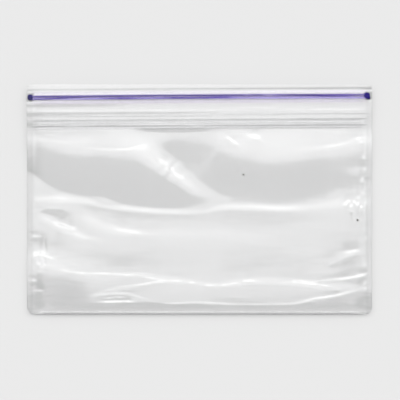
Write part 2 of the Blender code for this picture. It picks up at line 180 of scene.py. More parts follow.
GRIME_ROUGHNESS = 0.8

# ---- bends of the film across the pouch: (x, y, change of slope) along each ----
# ---- line, going from the zip to the foot, and how gently the film turns    ----
BENDS = [
    # up out of the header
    ([(-95, 36.5, -0.02), (-55, 36.5, 0.0), (-42, 36.5, 0.10), (-28, 36.5, 0.10),
      (-14, 36.5, 0.05), (3, 36.5, 0.03), (16, 36.5, 0.12), (50, 36.5, 0.11),
      (95, 36.5, 0.09)], 1.5),
    ([(-95, 32.6, 0.13), (-55, 33.6, 0.13), (-42, 35, 0.04), (-30, 35, 0.03),
      (-14, 34.5, 0), (16, 34, 0.01), (50, 33, 0.02), (95, 32, 0.05)], 1.5),
    # over the crest of the upper hump
    ([(-95, 33, -0.19), (-83, 29.5, -0.20), (-70, 25.5, -0.21), (-42, 23, -0.21),
      (-28, 24.5, -0.21), (-14, 32, -0.14), (3, 31, -0.13), (16, 25, -0.2),
      (28, 21.9, -0.2), (40, 20.3, -0.2), (60, 22.3, -0.2), (76, 24.2, -0.2),
      (95, 27.6, -0.2)], 3.5),
    # through the valley between the humps
    ([(-95, 8, 0.165), (-75, 4.4, 0.165), (-60, 1.6, 0.155), (-45, 0, 0.14),
      (-20, -2.8, 0.10), (0, -3.2, 0.095), (12, 1.6, 0.10), (25, 2.2, 0.10),
      (45, 1.7, 0.10), (60, 2.6, 0.125), (75, 6, 0.15), (95, 10, 0.15)], 4.0),
    # up the lower hump and over it
    ([(-95, -8, 0.04), (-60, -8, 0.10), (-35, -9, 0.11), (-20, -10, 0.08), (55, -12, 0.06),
      (70, -10, -0.02), (95, -8, -0.05)], 3.0),
    ([(-95, -13, -0.08), (-75, -21, -0.09), (-60, -27, -0.11), (-40, -28, -0.09),
      (-20, -23, -0.025), (55, -24, -0.01), (95, -24, 0.03)], 4.0),
    ([(-95, -22, 0.15), (-75, -26, 0.15), (-60, -31, 0.14), (-40, -36, 0.10),
      (-20, -38, 0.06), (95, -38, 0.05)], 3.0),
    ([(-95, -37, -0.10), (-75, -38.5, -0.19), (-62, -41, -0.17), (-48, -45, -0.02),
      (-30, -48, -0.02), (-10, -50, -0.03), (20, -50, -0.03), (60, -50, -0.02),
      (75, -49, -0.04), (95, -44, -0.06)], 3.0),
]
MOUNDS = [                        # centre x, y, reach along x and y, rise
    (-6, -8, 60, 60, 1.2), (-80, 34, 45, 40, 0.8), (-68, 1, 42, 30, 0.56),
    (-50, 4.5, 13, 7, 0.16), (-77, -4.6, 8, 2.6, 0.16), (-66, -9.5, 9, 3, -0.08),
]
FOOT_LEVELS = [                   # (x, level) that the film comes down to at the foot
    (-95, 2.1), (-70, 2.4), (-50, 2.9), (-30, 3.0), (-15, 2.8), (5, 2.45),
    (25, 2.6), (60, 2.8), (76, 2.75), (95, 2.1),
]
POUCH_LENGTH = 96.2               # from the header to the foot
LOWEST_FILM = 0.3                 # the front film rests on the back one from here
LOWEST_TURN = 0.12                # and levels out this gently

# ---- folds: the film steps up on the right-hand side of each route. Rows are ----
# ---- (x, y, rise, width), then how far the step reaches to the left and to   ----
# ---- the right before the film is level again                                ----
FOLDS = [
    # along the valley, from weld to weld
    ([(-92, 3.6, 1.3, 10), (-75, 1.1, 1.0, 8), (-60, -0.4, 0.78, 6),
      (-45, -3.5, 0.74, 4.6), (-20, -6, 0.6, 4), (0, -5.8, 0.52, 4.4),
      (12, -3.8, 0.6, 4.8), (25, -3.6, 0.7, 5.2), (45, -4.4, 0.74, 5),
      (60, -3.4, 0.6, 6), (75, -1.5, 0.4, 7), (92, 0, 0.3, 8)], 12, 16),
    # slanting across the upper hump
    ([(-39, 34, 0, 12), (-30, 27, 1.3, 16), (-20.4, 20.2, 2.5, 17), (-11.8, 13.1, 2.5, 16),
      (-3, 6.2, 1.4, 13), (7, 2.2, 0.45, 8), (18, -0.5, 0, 6)], 20, 20),
    # a short one on the left of the lower hump, and a long one beside it
    ([(-88, -6, 0, 5), (-82, -9, 0.35, 6), (-76, -12, 0.55, 7), (-69, -15.5, 0.75, 8),
      (-63, -18.5, 0.4, 6), (-54, -20.3, 0.12, 2.5), (-48, -20.5, 0, 2)], 6, 9),
    ([(-70, -2.5, 0, 8), (-58, -9, 0.5, 11), (-46, -15, 0.7, 11),
      (-35, -16.5, 0.55, 8), (-26, -17.3, 0.3, 8), (0, -17.5, 0.35, 12),
      (30, -19, 0.3, 12), (55, -19, 0, 10)], 8, 12),
    # along the crest of the lower hump
    ([(-88, -27, 0, 8), (-80, -32, 0.35, 9), (-70, -36.5, 0.2, 4),
      (-60, -38.3, 0.2, 2.6), (-45, -38.7, 0.26, 2.6), (-32, -38.9, 0.36, 3.4),
      (-22, -40.6, 0.5, 6), (-5, -42.7, 0.26, 3.4), (8, -44.3, 0.26, 3.4),
      (20, -43, 0.4, 6), (32, -42, 0.4, 6), (45, -43, 0.35, 6),
      (55, -43.5, 0.6, 6), (65, -45, 0.55, 7), (75, -45, 0.4, 6),
      (85, -46, 0.05, 2)], 9, 16),
]

# ---- finer folds, of the same form, that only the film shows ----
CREASES = [
    # under the lower hump
    ([(-50, -46.5, 0, 2), (-35, -44.8, 0.22, 2), (-24, -43.2, 0.3, 2.5),
      (-15, -42.5, 0, 2)], 3, 3),
    ([(-58, -50.5, 0, 2.5), (-48, -49, 0.3, 2.5), (-38, -49, 0.25, 2),
      (-30, -51, 0.15, 2), (-26, -51, 0, 2)], 3, 3),
    ([(-52, -53, 0, 1.5), (-45, -53, 0.3, 1.6), (-36, -53, 0.25, 1.6),
      (-33, -53, 0, 1.5)], 2.5, 2.5),
    # along the foot
    ([(-20, -53.8, 0, 1.6), (-14, -54, 0.3, 1.6), (-3, -53.4, 0.2, 1.5),
      (8, -54, 0.3, 1.6), (20, -54.6, 0.22, 1.5), (40, -54.5, 0.2, 1.5),
      (50, -54, 0.3, 1.8), (60, -51.5, 0.3, 2), (70, -50, 0.4, 2.2),
      (80, -47.5, 0.26, 2), (86.5, -46.4, 0, 2)], 3, 3),
    # running into the right weld
    ([(56, -43, 0, 2), (66, -42, 0.25, 2), (76, -41, 0.3, 2), (85, -39.3, 0.3, 2),
      (88.5, -38, 0, 2)], 3, 3),
    ([(60, -35, 0, 5), (72, -30.5, 0.25, 6), (79, -28, 0.45, 4.5), (86, -26, 0, 3)],
     5, 5),
    # on the upper hump
    ([(-60, 26.5, 0, 2), (-50, 26, 0.12, 2.4), (-38, 25.7, 0.12, 2.4), (-30, 26, 0, 2)],
     3, 3),
    ([(48, 26, 0, 2), (60, 26.5, 0.2, 3), (72, 28.5, 0.25, 3.5), (84, 31.5, 0.2, 4),
      (88, 33, 0, 3)], 4, 4),
    ([(12, 32.5, 0, 2), (15.5, 31.5, 0.15, 2), (18.5, 29.5, 0.15, 2), (21, 29, 0, 2)],
     2.5, 2.5),
]

# ---- glints, where the film steps up over a short run: x, y, half length, turn ----
# ---- in degrees, rise and width                                                ----
GLINTS = [
    # under the header
    (-77, 33.6, 3.0, -8, 0.10, 1.2), (-82, 31.5, 1.6, -30, 0.12, 1.2),
    (-74, 30.2, 5.0, -6, 0.08, 1.6), (-53, 26.6, 5.0, -3, 0.09, 1.0),
    (-40, 26.3, 4.0, 2, 0.09, 1.0), (-33, 27.4, 3.0, 8, 0.08, 1.2),
    (18, 30.2, 1.8, -35, 0.34, 1.6), (15, 32.5, 2.4, -20, 0.22, 1.2),
    (28.5, 33.0, 3.6, -14, 0.56, 4.0),
    # on the slanting fold
    (-15.6, 16.0, 1.3, -42, 0.80, 1.8), (-18.6, 19.4, 1.8, -38, 0.46, 1.8),
    (-10.5, 12.2, 2.6, -36, 0.44, 2.0), (-20.5, 21.2, 1.2, -50, 0.10, 1.0),
    (-7, 8.5, 2.4, -30, 0.10, 1.6),
    # on the left of the lower hump
    (-72.4, -13.2, 2.0, -12, 0.74, 2.3), (-67.5, -14.6, 2.4, -12, 0.54, 1.8),
    (-64, -18.2, 3.2, -24, 0.13, 1.6), (-60, -19.9, 3.6, -3, 0.10, 1.0),
    (-76, -11.6, 1.6, -20, 0.10, 1.2), (-41.0, -15.8, 2.8, -6, 0.34, 1.5),
    (-34.0, -17.0, 2.4, -12, 0.28, 1.3), (-28, -17.8, 3.0, -4, 0.08, 1.4),
    (-83, -5.5, 2.4, 25, 0.10, 1.6), (-77, -4.2, 3.0, 0, 0.10, 1.6),
    (-70, -5.4, 2.6, -30, 0.08, 1.8),
    # the crushed places beside the left weld
    (-86.4, -19.0, 2.4, 0, 0.34, 1.1), (-82.5, -27.6, 3.6, -6, 0.30, 4.6),
    (-85.8, -28.4, 0.7, 0, 0.88, 2.8), (-83.0, -27.8, 0.7, -4, 0.94, 3.2),
    (-80.0, -28.8, 0.7, 6, 0.88, 2.8), (-77.0, -30.4, 2.2, -14, 0.22, 1.8),
    (-84.0, -47.4, 2.0, -3, 0.24, 0.9), (-86.8, -42.0, 1.6, 0, 0.30, 1.1),
    (-83.8, -33.4, 0.8, 0, 0.28, 2.5), (-82.0, -35.2, 0.8, 0, 0.26, 2.3),
    (-80.2, -34.0, 0.8, 0, 0.24, 2.1), (-83.2, -37.4, 1.2, 10, 0.16, 0.9),
    (-85.8, -5.6, 0.8, 0, 0.22, 2.1), (-84.6, 11.0, 0.8, 0, 0.20, 2.3),
    # along the crest of the lower hump and below it
    (-70, -37.0, 3.0, -12, 0.12, 1.4), (-62, -38.2, 2.4, -4, 0.10, 1.2),
    (-52, -38.4, 3.4, -2, 0.09, 1.2), (-37, -39.6, 2.6, -6, 0.12, 1.2),
    (-26, -40.8, 3.2, -5, 0.13, 1.4), (-21, -41.8, 2.6, -14, 0.11, 1.2),
    (-12, -42.6, 2.4, -4, 0.11, 1.2), (-4, -43.4, 1.8, 0, 0.13, 1.2),
    (5, -44.6, 2.8, -3, 0.15, 1.4), (13, -44.4, 2.0, 6, 0.11, 1.1),
    (18, -43.6, 2.4, 8, 0.16, 1.5), (26, -42.2, 3.4, 4, 0.22, 1.7),
    (31, -43.2, 1.8, -10, 0.15, 1.2), (44, -43.4, 2.0, 0, 0.11, 1.2),
    (51.5, -42.6, 2.6, 2, 0.32, 1.8), (57, -43.4, 3.0, -8, 0.20, 1.4),
    (66, -44.8, 3.0, -12, 0.15, 1.2), (72, -46.4, 2.6, -14, 0.14, 1.1),
    (-46, -46.9, 3.2, 3, 0.16, 1.0), (-38, -46.4, 2.2, 0, 0.12, 0.9),
    (-47, -51.2, 2.2, 3, 0.26, 1.0), (-41, -50.8, 2.4, -2, 0.22, 0.9),
    (-48, -53.2, 2.8, 0, 0.24, 0.9), (-39, -53.0, 3.0, 2, 0.28, 0.9),
    (-52, -48.6, 2.6, 14, 0.12, 1.0), (-34.5, -51.6, 1.2, -50, 0.16, 0.8),
    # down the right
    (76.2, -2.2, 0.7, 0, 0.66, 2.3), (79.2, -3.4, 0.7, 0, 0.74, 2.8),
    (82.4, -2.4, 0.7, 0, 0.66, 2.3), (77.8, -0.8, 0.7, 0, 0.36, 1.8),
    (80.8, -1.0, 0.7, 0, 0.36, 1.8), (84.6, -3.8, 0.7, 0, 0.50, 2.0),
    (79.0, -5.6, 1.2, -20, 0.18, 0.9), (82.8, 1.2, 0.8, 0, 0.26, 2.3),
    (85.4, 3.4, 0.8, 0, 0.30, 3.0), (83.2, 32.2, 1.6, 15, 0.22, 1.6),
    (84.6, 30.2, 0.8, 0, 0.26, 2.3), (85.8, 22.6, 0.8, 0, 0.62, 4.1),
    (86.2, 16.0, 0.8, 0, 0.44, 2.8), (85.0, 10.4, 0.8, 0, 0.62, 3.9),
    (86.6, -2.0, 0.8, 0, 0.34, 3.2), (77.5, -27.2, 3.0, 10, 0.26, 2.2),
    (81.0, -26.6, 1.6, 4, 0.18, 1.4), (69.0, -33.0, 2.4, 24, 0.12, 1.6),
    (85.4, -39.2, 1.8, 10, 0.24, 1.1), (86.2, -46.6, 1.2, 0, 0.22, 1.2),
    (86.6, -43.4, 0.8, 0, 0.30, 2.8), (76, -41.0, 3.4, 8, 0.14, 1.2),
    (86.4, -34.0, 0.8, 0, 0.26, 2.8), (86.8, -20.0, 0.8, 0, 0.22, 2.8),
    (82, 15, 7.0, 0, 0.34, 9.0), (66, -37.5, 6.0, 4, 0.22, 6.0),
]

# ---- straight steps along the header: y, width, reach, then (x, rise) ----
HEADER_LINES = [
    (45.0, 12, 12, [(-90, -0.45), (-60, -0.42), (-30, -0.22), (0, -0.08), (30, 0), (90, 0)]),
    (56.2, 1.6, 1.6, [(-90, -0.07), (-50, -0.03), (0, 0), (40, 0.05), (90, 0.08)]),
    (39.4, 5, 5, [(-90, -0.13), (-42, -0.12), (-30, 0.06), (-10, 0.10), (5, 0)]),
    (51.4, 1.4, 1.6, [(-86, 0), (-80, 0.09), (0, 0.07), (80, 0.06), (86, 0)]),
    (49.4, 3.6, 3.5, [(-90, -0.27), (-50, -0.24), (-38, -0.13), (0, -0.08), (40, -0.06),
                      (84, -0.10), (90, -0.06)]),
    (47.8, 1.0, 1.5, [(20, 0), (27, 0.06), (36, 0.08), (42, 0)]),
    (45.0, 3.2, 3.0, [(-90, -0.06), (-76, -0.14), (-20, -0.08), (20, -0.04), (90, -0.04)]),
    (46.6, 1.6, 2.0, [(-88, 0), (-80, 0.13), (-60, 0.10), (-40, 0.07), (40, 0.04),
                      (55, 0.06), (72, 0.12), (84, 0.07), (88, 0)]),
    (45.3, 0.7, 1.0, [(-75, 0), (-65, -0.08), (-40, -0.06), (-10, -0.04), (10, 0)]),
    (44.3, 0.8, 1.0, [(0, 0), (20, -0.05), (50, -0.05), (84, -0.06), (88, 0)]),
    (43.5, 0.7, 1.0, [(-80, 0), (-60, -0.05), (0, -0.04), (40, -0.03), (80, 0)]),
    (41.7, 0.9, 1.2, [(-89, 0), (-80, -0.06), (0, -0.08), (40, -0.08), (84, -0.08),
                      (88, 0)]),
    (40.2, 0.8, 1.0, [(-88, 0), (-82, 0.08), (-74, 0.08), (-66, 0.01), (10, 0.02),
                      (20, 0.08), (28, 0.03), (55, 0.05), (64, 0.15), (72, 0.06),
                      (82, 0.10), (87, 0)]),
    (38.45, 0.7, 0.9, [(-88, 0), (-84, -0.14), (-74, -0.14), (-68, -0.03), (-58, -0.14),
                       (-12, -0.15), (0, -0.05), (8, -0.12), (45, -0.16), (65, -0.08),
                       (76, -0.13), (85, -0.16), (88, 0)]),
    (37.3, 0.6, 0.8, [(-88, 0), (-80, -0.08), (84, -0.08), (88, 0)]),
]

# ---- the closures: y is where each crosses the middle of the bag ----
FUSED_LOW, FUSED_HIGH = 52.2, 55.1  # between these the films are fused to the zip
FUSED_FADE = 0.7
FUSED_ENDS = 86.0                 # beyond this along x the zip's ends are melted
MELTED_LOW, MELTED_HIGH = 51.2, 56.3  # and wider than the beads
ZIP_HALF_LENGTH = 87.5 * MM
FLANGE_LOW, FLANGE_HIGH = 50.6 * MM, 56.7 * MM
FLANGE_LIFT = 0.3 * MM            # the flange lies this far over the zip's underside
WEB_LOW, WEB_HIGH = 52.4 * MM, 54.7 * MM
WEB_DROP = 0.45 * MM              # the web lies this far below the zip's top,
WEB_WAVE = 0.12 * MM              # and rises and dips by this much,
WEB_RIDGE = 0.8 * MM              # from a ridge to the next groove
BEAD_SIDES = 10
BEAD_STEP = 0.8                   # length of a bead's sections, mm
FEWEST_RINGS = 8
BEAD_FOOT = 0.9 * MM              # level of the underside of the beads
LOWER_DROP = 0.1 * MM             # the lower beads' tops are this much lower
ZIP_STOPS = [  # name, x, y, half length, half width, then how far a lobe sticks out, mm
    ("zip_stop_left", -88.3, 53.35, 1.5, 1.55, (0, 0)),
    ("zip_stop_right", 87.3, 54.3, 1.7, 1.7, (0.6, -0.9)),
]
STOP_SQUARE = 0.28                # how far the corners of a stop are pushed out
STOP_FLAT = 1.25                  # how much too tall it would be without its flat top
DENT_DEPTH = 0.10
DENT_SCALE = 2.3
DENT_SHIFT = 900                  # each stop takes its own part of the pattern of dents
SPECKS = [("speck_side", 82.4, -10.7, 1.0), ("speck_hump", 22.9, 13.0, 0.9)]  # x, y, size
LUMP_DEPTH = 0.35
LUMP_SCALE = 1.7
SPECK_FLATNESS = 0.5              # its height as a share of its size
SPECK_LIFT = 0.15                 # and the same for its middle above the film
ZIP_UPPER = [  # x, y, half width, depth of colour, which also paints shade and highlights
    (-88, 54.22, 0.45, 0.9), (-68, 54.27, 0.45, 0.9), (-43, 54.47, 0.45, 0.85),
    (-14, 54.62, 0.43, 0.9), (8, 54.47, 0.47, 0.95), (22, 54.52, 0.45, 0.9),
    (25, 54.52, 0.38, 0.6), (28, 54.52, 0.45, 0.9), (33, 54.52, 0.41, 0.8),
    # the pale spot at x 35.5 is a painted highlight on the bead
    (35.5, 54.62, 0.26, 0.3), (38.5, 54.52, 0.40, 0.7), (52, 54.32, 0.47, 1.0),
    (60, 54.22, 0.51, 1.0), (66, 54.07, 0.67, 0.9), (76, 54.07, 0.67, 0.85),
    (82, 54.32, 0.41, 0.8), (87, 54.37, 0.41, 0.9),
]
# the lower beads, whose depth of colour, like the upper bead's, also paints shade and
# highlights
ZIP_LOWER = [
    [(-88, 52.8, 0.40, 0.9), (-81, 52.8, 0.45, 1.0), (-75, 53.15, 0.45, 0.95),
     (-69, 53.6, 0.43, 0.9), (-64, 53.95, 0.38, 0.9), (-56, 54.2, 0.26, 0.8)],
    [(-72, 52.7, 0.23, 0.3), (-62, 52.75, 0.34, 0.45), (-53, 52.85, 0.40, 0.6),
     (-46, 53.0, 0.54, 0.85), (-40, 53.05, 0.67, 0.9), (-34, 53.0, 0.54, 0.8),
     (-28, 53.0, 0.45, 0.65), (-20, 53.05, 0.45, 0.75), (-14, 53.1, 0.47, 0.95),
     (0, 53.05, 0.47, 0.9), (8, 53.2, 0.63, 0.9), (14, 53.3, 0.63, 0.85),
     (19, 53.1, 0.45, 0.6), (23, 52.9, 0.26, 0.3)],
    [(23, 53.0, 0.23, 0.2), (35, 52.7, 0.31, 0.25), (46, 52.65, 0.31, 0.2),
     (56, 52.7, 0.26, 0.15), (70, 52.6, 0.23, 0.1), (78, 52.5, 0.26, 0.3),
     (87, 52.5, 0.36, 0.5)],
]
ZIP_WEB = [(-88, 0.3), (-80, 0.15), (-74, 0.2), (-64, 0.08), (-52, 0.1), (-48, 0.05),
           (-44, 0.15), (-40, 0.35), (-36, 0.15), (-27, 0.06), (-14, 0.12), (0, 0.1),
           (7, 0.4), (14, 0.3), (20, 0.12), (24, 0.05), (36, 0.08), (50, 0.08),
           (60, 0.12), (76, 0.1), (83, 0.04), (87, 0.2)]
RIB_HALF_LENGTH = 87 * MM
TRACK_LOW, TRACK_HIGH = 36.7 * MM, 42.2 * MM
TRACK_LIFT = 0.1                  # the track lies this far over the strip's underside, mm
RIB_SPREAD = 0.42                 # how far a rib spreads to each side, mm
RIB_GAP = 0.06 * MM               # the ribs stay this far under the front film
RIBS = [  # y, height of the rib along it as (x, height)
    (37.3, [(-87, 0), (-85, 0.15), (0, 0.18), (85, 0.25), (87, 0)]),
    (38.5, [(-87, 0), (-85, 0.5), (-74, 0.45), (-66, 0.2), (-58, 0.45), (-12, 0.5),
            (-2, 0.25), (8, 0.4), (45, 0.5), (65, 0.35), (76, 0.45), (85, 0.5),
            (87, 0)]),
    (40.25, [(-87, 0), (-85, 0.14), (0, 0.14), (85, 0.18), (87, 0)]),
    (41.6, [(-87, 0), (-85, 0.18), (0, 0.22), (85, 0.25), (87, 0)]),
]

# ---- how finely the sheets are divided ----
SIDE_STRIP = 12 * MM              # the front film is finer this close to its side edges
SIDE_STEP = 0.35 * MM
MIDDLE_STEP = 0.75 * MM
FOOT_STRIP = 2 * MM               # and both films this close to the foot
FOOT_STEP = 0.12 * MM
POUCH_STEP = 0.43 * MM
HEADER_STEP = 0.24 * MM
BACK_FOOT_STEP = 0.2 * MM
BACK_STEP = 1.2 * MM
BACK_LIP = 50 * MM                # the back film is finer from here to its lip
BACK_LIP_STEP = 0.35 * MM
ZIP_COLUMN_STEP = 1.0 * MM
FLANGE_ROW_STEP = 0.5 * MM
WEB_ROW_STEP = 0.15 * MM
RIB_COLUMN_STEP = 0.8 * MM
RIB_ROW_STEP = 0.12 * MM


def smooth(t):
    """From 0 to 1 as t does, with level ends."""
    t = np.clip(t, 0.0, 1.0)
    return t * t * t * (t * (6.0 * t - 15.0) + 10.0)


def smooth_route(rows, steps=6):
    """A Catmull-Rom curve through the rows, all columns alike."""
    points = np.array(rows, float)
    first = 2 * points[0] - points[1]
    last = 2 * points[-1] - points[-2]
    points = np.vstack([first, points, last])
    curve = []
    for before, start, end, after in zip(points, points[1:], points[2:], points[3:]):
        for step in range(steps):
            t = step / steps
            linear = (end - before) * t
            square = (2 * before - 5 * start + 4 * end - after) * t ** 2
            cube = (3 * start - before - 3 * end + after) * t ** 3
            curve.append(0.5 * (2 * start + linear + square + cube))
    curve.append(points[-2])
    return np.array(curve)


def beside_route(x, y, rows):
    """Distance to a route, positive on its right, and its values at that place."""
    curve = smooth_route(rows)
    nearest = np.full(x.shape, np.inf)
    side = np.zeros(x.shape)
    values = np.zeros((curve.shape[1] - 2,) + x.shape)
    for start, end in zip(curve, curve[1:]):
        run_x, run_y = end[:2] - start[:2]
        off_x, off_y = x - start[0], y - start[1]
        t = np.clip((off_x * run_x + off_y * run_y) / (run_x ** 2 + run_y ** 2), 0, 1)
        off_x, off_y = off_x - t * run_x, off_y - t * run_y
        distance = np.hypot(off_x, off_y)
        closer = distance < nearest
        nearest = np.where(closer, distance, nearest)
        right = np.sign(off_x * run_y - off_y * run_x)
        side = np.where(closer, right * distance, side)
        for value, low, high in zip(values, start[2:], end[2:]):
            value[closer] = (low + t * (high - low))[closer]
    return side, values


def bend(x, y, rows, softness):
    """Height that a bend adds below its line."""
    line = smooth_route(rows)
    below = np.interp(x, line[:, 0], line[:, 1]) - y
    slope = np.interp(x, line[:, 0], line[:, 2])
    return slope * 0.5 * (below + np.sqrt(below ** 2 + softness ** 2))


def fold(x, y, rows, reach_left, reach_right):
    """Height that a fold adds: a step along its route that levels out."""
    side, (rise, width) = beside_route(x, y, rows)
    reach = np.where(side > 0, reach_right, reach_left)
    width = np.maximum(width, 1.0)
    return rise * (smooth(side / width + 0.5) - 0.5) * np.exp(-(side / reach) ** 2)


def glint(x, y, centre_x, centre_y, half_length, turn, rise, width):
    """Height that a short step adds, rising towards the foot."""
    cosine, sine = math.cos(math.radians(turn)), math.sin(math.radians(turn))
    off_x, off_y = x - centre_x, y - centre_y
    along = off_x * cosine + off_y * sine
    side = off_x * sine - off_y * cosine
    step = rise * (smooth(side / width + 0.5) - 0.5)
    return step * np.exp(-(side / (2 * width)) ** 2 - (along / half_length) ** 2)


def mound(x, y, centre_x, centre_y, reach_x, reach_y, rise):
    """Height of a broad round swelling."""
    off = ((x - centre_x) / reach_x) ** 2 + ((y - centre_y) / reach_y) ** 2
    return rise * np.exp(-off)


def step_line(x, across, y, width, reach, marks):
    """Height that a straight step adds: up towards the foot where its rise is positive."""
    rise = np.interp(x, *zip(*marks))
    side = y - across
    return rise * (smooth(side / width + 0.5) - 0.5) * np.exp(-(side / reach) ** 2)


def swelling(x_mm, y_mm):
    """Height that the mounds add together, in millimetres."""
    return sum(mound(x_mm, y_mm, *row) for row in MOUNDS)


def pouch_height(x, y):
    """Height of the front film over the pouch, away from the seams, in metres."""
    x_mm, y_mm = x / MM, y / MM
    foot_mm = np.full(x.shape, -HALF_HEIGHT / MM)
    height = HEADER_TOP / MM + swelling(x_mm, y_mm)
    at_foot = HEADER_TOP / MM - np.interp(x_mm, *zip(*FOOT_LEVELS))
    for rows, softness in BENDS:
        height += bend(x_mm, y_mm, rows, softness)
        at_foot += bend(x_mm, foot_mm, rows, softness)
    height -= at_foot * (HEADER_EDGE / MM - y_mm) / POUCH_LENGTH
    for rows, reach_left, reach_right in FOLDS + CREASES:
        height += fold(x_mm, y_mm, rows, reach_left, reach_right)
    for row in GLINTS:
        height += glint(x_mm, y_mm, *row)
    above = height - LOWEST_FILM
    return (LOWEST_FILM + 0.5 * (above + np.hypot(above, LOWEST_TURN))) * MM


def seam_height(x, y):
    """Mid-height of the side welds and of the hem at the foot."""
    foot = smooth((HALF_HEIGHT / 2 - y) / (2 * HALF_HEIGHT))
    level = SEAM_RISE_SIDE + (SEAM_RISE_FOOT - SEAM_RISE_SIDE) * foot
    inside = smooth((HALF_HEIGHT + y) / FOOT_WELD_FADE)
    inside *= smooth((HEADER_EDGE - y) / HEADER_WELD_FADE)
    waves = pouch_height(x, y) - WELD_LEVEL
    level += WELD_FOLLOW * waves * inside
    held_up = smooth((y - HEADER_EDGE) / HELD_UP_FADE + HELD_UP_SHARE)
    return level + (header_height(x, y) - HEADER_WELD_DROP - level) * held_up


def header_height(x, y):
    """Height of the front film over the closures and the lip."""
    x_mm = x / MM
    across = (y - x * TILT) / MM
    height = np.interp(across, *smooth_route(HEADER_LEVELS).T)
    height += swelling(x_mm, y / MM)
    for y_line, width, reach, marks in HEADER_LINES:
        height += step_line(x_mm, across, y_line, width, reach, marks)
    return height * MM


def rounded(inwards):
    """A quarter of a circle's height, from its edge inwards."""
    inwards = np.clip(inwards, 0.0, 1.0)
    return np.sqrt(np.maximum(1.0 - (1.0 - inwards) ** 2, 0.0))


def edge_thickness(x, y):
    """How far each film stands off the middle of the bag's edge."""
    from_side = HALF_WIDTH - np.abs(x)
    weld = RIM_HEIGHT * rounded(from_side / RIM)
    from_foot = HALF_HEIGHT + y
    turn = FOLD_HEIGHT * rounded(from_foot / FOLD_DEPTH)
    turn *= 1.0 - smooth((from_foot - FOOT_SHOULDER) / (2 * FOOT_SHOULDER))
    return weld + turn * smooth(from_side / FOLD_TAPER)


def front_height(x, y):
    """Height of the front film."""
    edge = seam_height(x, y) + edge_thickness(x, y)
    corner = smooth((y - CORNER_FROM) / (CORNER_TO - CORNER_FROM))
    shoulder = SIDE_SHOULDER + (CORNER_SHOULDER - SIDE_SHOULDER) * corner
    from_side = smooth((HALF_WIDTH - WELD_WIDTH - np.abs(x)) / shoulder)
    from_foot = smooth((HALF_HEIGHT + y - FOLD_FLAT) / FOOT_SHOULDER)
    pouch = edge + (pouch_height(x, y) - edge) * from_side * from_foot
    header = edge + (header_height(x, y) - edge) * from_side
    into_header = smooth((y - HEADER_EDGE) / HEADER_BLEND + 0.5)
    return pouch + (header - pouch) * into_header


def back_height(x, y):
    """Height of the back film: on the floor, lifting towards the edges and the lips."""
    from_side = smooth((HALF_WIDTH - WELD_WIDTH - np.abs(x)) / UNDER_SHOULDER)
    from_foot = smooth((HALF_HEIGHT + y) / FOLD_DEPTH)
    edge = seam_height(x, y) - edge_thickness(x, y)
    lying = BACK_FILM + (edge - BACK_FILM) * (1.0 - from_side * from_foot)
    lip = smooth((y - x * TILT - LIP_RISE) / LIP_RISE_WIDTH)
    return lying + (front_height(x, y) - LIP_GAP - lying) * lip


# ---- making the materials ----
def nodes_of(name):
    """A new material, with its empty node tree."""
    material = bpy.data.materials.new(name)
    material.use_nodes = True
    tree = material.node_tree
    tree.nodes.clear()
    return material, tree


def math_node(tree, operation, first, second=None, clamp=False):
    """A Math node; its inputs are sockets or plain numbers."""
    node = tree.nodes.new("ShaderNodeMath")
    node.operation = operation
    node.use_clamp = clamp
    for socket, value in zip(node.inputs, (first, second)):
        if value is None:
            continue
        if isinstance(value, bpy.types.NodeSocket):
            tree.links.new(value, socket)
        else:
            socket.default_value = value
    return node.outputs[0]


def mix_colour(tree, share, first, second):
    """A colour between two, by a socket's value from 0 to 1."""
    node = tree.nodes.new("ShaderNodeMix")
    node.data_type = "RGBA"
    node.clamp_factor = True
    tree.links.new(share, node.inputs[0])
    node.inputs[6].default_value = (*first, 1)
    node.inputs[7].default_value = (*second, 1)
    return node.outputs[2]


def mix_shader(tree, share, first, second):
    """A shader between two, by a socket or a number."""
    node = tree.nodes.new("ShaderNodeMixShader")
    if isinstance(share, bpy.types.NodeSocket):
        tree.links.new(share, node.inputs[0])
    else:
        node.inputs[0].default_value = share
    tree.links.new(first, node.inputs[1])
    tree.links.new(second, node.inputs[2])
    return node.outputs[0]


def facing(tree):
    """From 0 where the surface is seen face-on to 1 where it is seen edge-on."""
    weight = tree.nodes.new("ShaderNodeLayerWeight")
    weight.inputs["Blend"].default_value = 0.5
    return weight.outputs["Facing"]


def schlick(tree, normal_share):
    """Share of light that a sheet mirrors: more at grazing angles."""
    fifth = math_node(tree, "POWER", facing(tree), 5.0)
    extra = math_node(tree, "MULTIPLY", fifth, 1.0 - normal_share)
    return math_node(tree, "ADD", extra, normal_share, clamp=True)


def mark(tree, name):
    """The value that the mesh holds under a name."""
    node = tree.nodes.new("ShaderNodeAttribute")
    node.attribute_name = name
    return node.outputs["Fac"]


def cloudy(tree, scale, stretch, detail=3.0):
    """A cloudy pattern in metres, drawn out along X."""
    place = tree.nodes.new("ShaderNodeTexCoord")
    mapping = tree.nodes.new("ShaderNodeMapping")
    mapping.inputs["Scale"].default_value = (1.0 / stretch, 1.0, 1.0)
    pattern = tree.nodes.new("ShaderNodeTexNoise")
    pattern.inputs["Scale"].default_value = scale
    pattern.inputs["Detail"].default_value = detail
    tree.links.new(place.outputs["Object"], mapping.inputs["Vector"])
    tree.links.new(mapping.outputs["Vector"], pattern.inputs["Vector"])
    return pattern.outputs["Fac"]


def finish(tree, shader):
    """Give the material its surface."""
    out = tree.nodes.new("ShaderNodeOutputMaterial")
    tree.links.new(shader, out.inputs["Surface"])


def rippled(tree, depth):
    """Fine ripples drawn out along the film, as a normal."""
    bump = tree.nodes.new("ShaderNodeBump")
    bump.inputs["Distance"].default_value = depth
    ripples = cloudy(tree, RIPPLE_SCALE, RIPPLE_STRETCH)
    tree.links.new(ripples, bump.inputs["Height"])
    return bump.outputs["Normal"]


